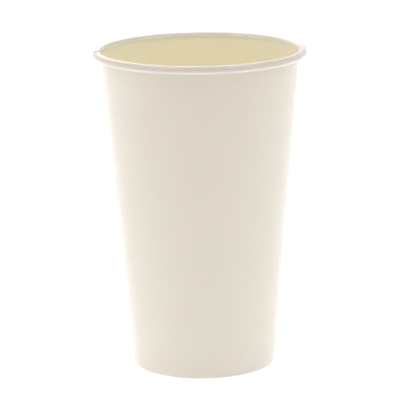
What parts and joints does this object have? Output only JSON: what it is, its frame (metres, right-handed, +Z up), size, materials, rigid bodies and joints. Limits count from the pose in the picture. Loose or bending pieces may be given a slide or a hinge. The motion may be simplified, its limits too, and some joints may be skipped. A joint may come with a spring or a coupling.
{
  "type": "paper cold cup",
  "caption": "Tapered paper cup for cold drinks, with a rolled rim, a lapped side seam and a recessed bottom held in a folded hem.",
  "frame": {"origin": "middle of the ring on which the cup stands, on the standing surface", "axes": "+Z up along the cup's axis, from base to rim; the inner edge of the side seam lies near -X, 4 degrees round towards -Y"},
  "size_m": [0.09, 0.09, 0.136],
  "materials": {
    "side_wall": null,
    "bottom_disc": null
  },
  "bodies": {
    "root": {"side_wall": "side_wall", "bottom_disc": "bottom_disc"}
  },
  "joints": []
}
